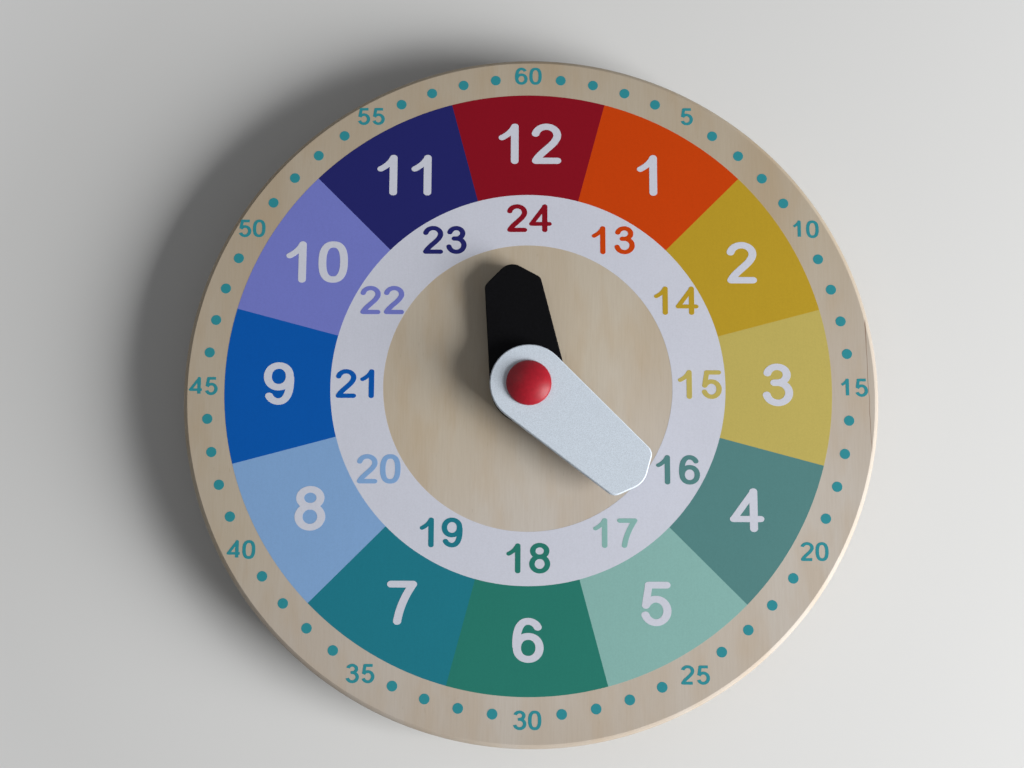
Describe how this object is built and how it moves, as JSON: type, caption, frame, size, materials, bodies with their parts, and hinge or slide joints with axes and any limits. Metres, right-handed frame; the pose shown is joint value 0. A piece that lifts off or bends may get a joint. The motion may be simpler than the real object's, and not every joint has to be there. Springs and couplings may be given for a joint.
{
  "type": "geared teaching clock",
  "caption": "Round wooden teaching clock with printed dial, two wooden hands, a domed cap and a 12 to 1 gear case on its back.",
  "frame": {"origin": "where the hands' axis meets the outer plane of the case cover, on which the clock lies", "axes": "+Z along the hands' axis, out through the dial; +Y to twelve; +X to three"},
  "size_m": [0.298, 0.298, 0.0418],
  "materials": {
    "dial_wood": "sanded, screen-printed, clear satin varnish",
    "case_plastic": "moulded, fine matt",
    "cover_plastic": "moulded, fine matt",
    "screw_steel": "zinc plated",
    "brass": "turned",
    "spring_steel": "blued spring steel",
    "arbor_steel": "ground",
    "gear_white": "moulded acetal",
    "hour_black": "matt black paint on wood",
    "minute_silver": "silver-white paint on wood",
    "fibre": "vulcanised fibre",
    "cap_red": "red satin paint on wood"
  },
  "bodies": {
    "clock_body": {"dial_board": "dial_wood", "gear_case": "case_plastic", "case_cover": "cover_plastic", "case_screws": "screw_steel", "cover_screws": "screw_steel", "centre_bushing": "brass", "dial_washer": "screw_steel", "bushing_nut": "brass", "friction_washer": "spring_steel", "intermediate_stud": "arbor_steel"},
    "minute_train": {"minute_arbor": "arbor_steel", "cannon_pinion": "brass", "minute_hand": "minute_silver", "minute_hand_bush": "brass", "hand_nut": "brass", "centre_cap": "cap_red"},
    "intermediate_train": {"minute_wheel": "gear_white", "minute_pinion": "gear_white"},
    "hour_train": {"hour_wheel": "gear_white", "hour_pipe": "brass"},
    "hour_hand_set": {"hour_hand": "hour_black", "hour_hand_bush": "brass", "hand_spacer": "fibre"}
  },
  "joints": [
    {"name": "minute_turn", "type": "hinge", "parent": "clock_body", "child": "minute_train", "pos_m": [0, 0, 0.024], "axis": [0, 0, 1], "continuous": true},
    {"name": "intermediate_turn", "type": "hinge", "parent": "clock_body", "child": "intermediate_train", "pos_m": [0, 0.03, 0.008], "axis": [0, 0, 1], "continuous": true},
    {"name": "hour_turn", "type": "hinge", "parent": "clock_body", "child": "hour_train", "pos_m": [0, 0, 0.009], "axis": [0, 0, 1], "continuous": true},
    {"name": "hour_hand_set", "type": "hinge", "parent": "hour_train", "child": "hour_hand_set", "pos_m": [0, 0, 0.029], "axis": [0, 0, 1], "continuous": true}
  ],
  "couplings": [
    {"joint": "intermediate_turn", "follows": "minute_turn", "ratio": -0.33333},
    {"joint": "hour_turn", "follows": "minute_turn", "ratio": 0.083333}
  ]
}
